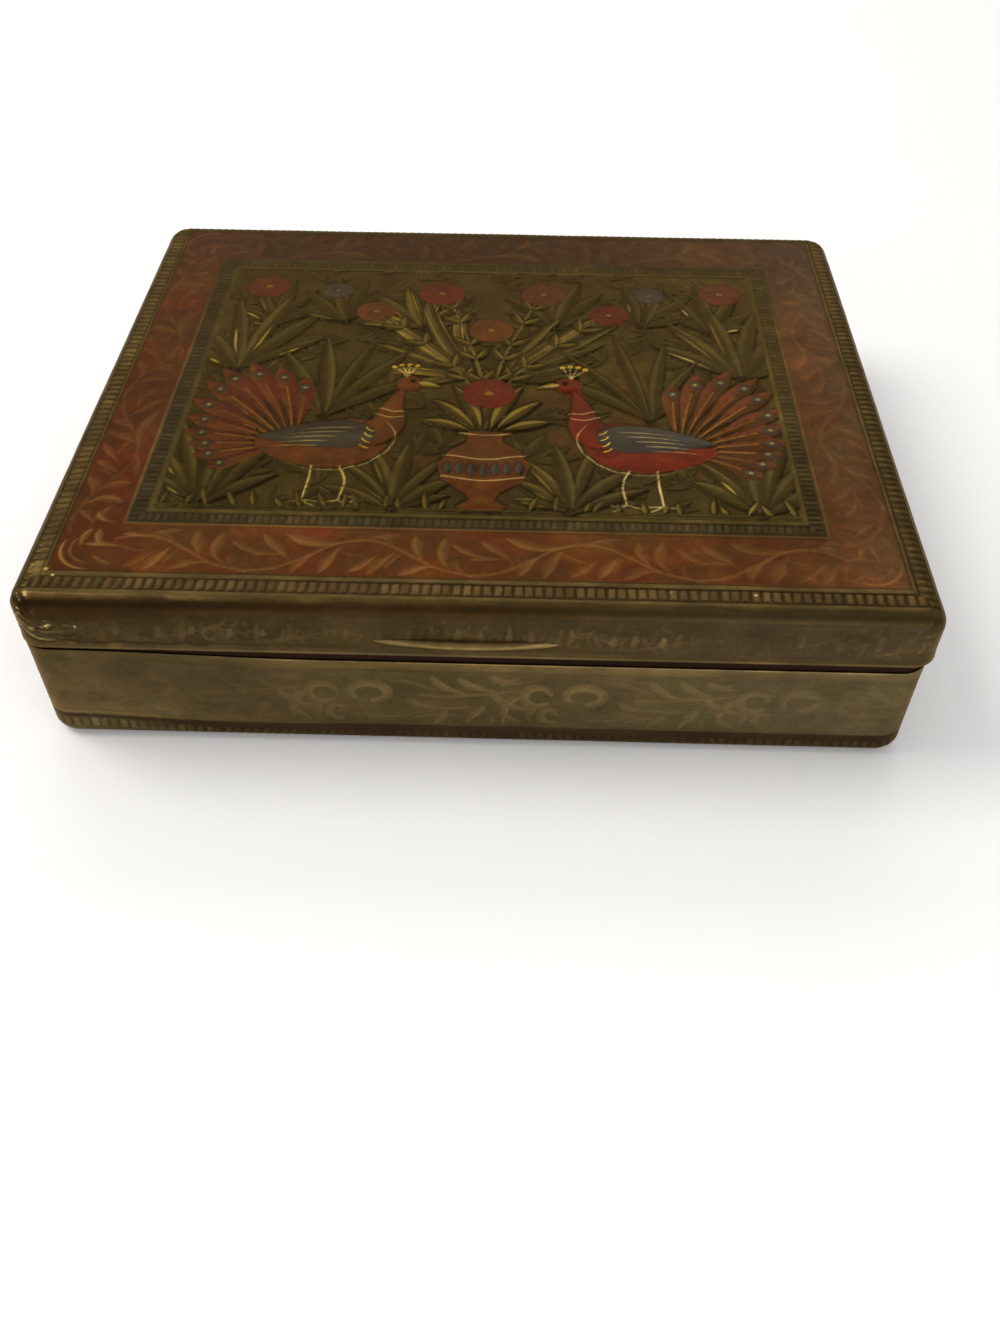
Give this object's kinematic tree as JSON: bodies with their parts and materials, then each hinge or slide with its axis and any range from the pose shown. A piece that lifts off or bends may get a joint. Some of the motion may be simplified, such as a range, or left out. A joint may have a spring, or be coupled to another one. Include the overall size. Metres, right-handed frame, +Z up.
{
  "type": "hinged trinket box",
  "caption": "Low rectangular trinket box with a hinged lid, wooden inside and clad in engraved and painted brass sheet, velvet lined.",
  "frame": {"origin": "on the resting plane, under the middle of the lid", "axes": "+Z up, +X to the right seen from the front, -Y towards the front, where the thumb lip is"},
  "size_m": [0.152, 0.1306, 0.0326],
  "materials": {
    "aged_brass": "engraved, enamelled in red and orange on top, aged to olive brown",
    "hinge_brass": "plain rolled brass, dulled",
    "steel_wire": "drawn wire, dull",
    "dark_wood": "dark stained, unpolished",
    "velvet": "deep red velvet on card",
    "baize": "dark green baize"
  },
  "bodies": {
    "base": {"base_cladding": "aged_brass", "hinge_base_leaf": "hinge_brass", "base_flange_nails": "hinge_brass", "hinge_base_nails": "hinge_brass", "hinge_pin": "steel_wire", "base_wall_pins": "steel_wire", "base_board_pins": "steel_wire", "base_bottom_board": "dark_wood", "base_front_wall": "dark_wood", "base_back_wall": "dark_wood", "base_left_wall": "dark_wood", "base_right_wall": "dark_wood", "base_floor_pad": "velvet", "base_lining_front": "velvet", "base_lining_back": "velvet", "base_lining_left": "velvet", "base_lining_right": "velvet", "base_felt": "baize"},
    "lid": {"lid_cladding": "aged_brass", "lid_rail_pins": "steel_wire", "lid_board_pins": "steel_wire", "lid_top_board": "dark_wood", "lid_front_rail": "dark_wood", "lid_back_rail": "dark_wood", "lid_left_rail": "dark_wood", "lid_right_rail": "dark_wood", "lid_pad": "velvet", "lid_lining_front": "velvet", "lid_lining_back": "velvet", "lid_lining_left": "velvet", "lid_lining_right": "velvet", "thumb_lip": "aged_brass", "hinge_lid_leaf": "hinge_brass", "hinge_lid_nails": "hinge_brass"}
  },
  "joints": [
    {"name": "lid_hinge", "type": "hinge", "parent": "base", "child": "lid", "pos_m": [0, 0.06335, 0.0224], "axis": [-1, 0, 0], "range_deg": [0, 105]}
  ]
}
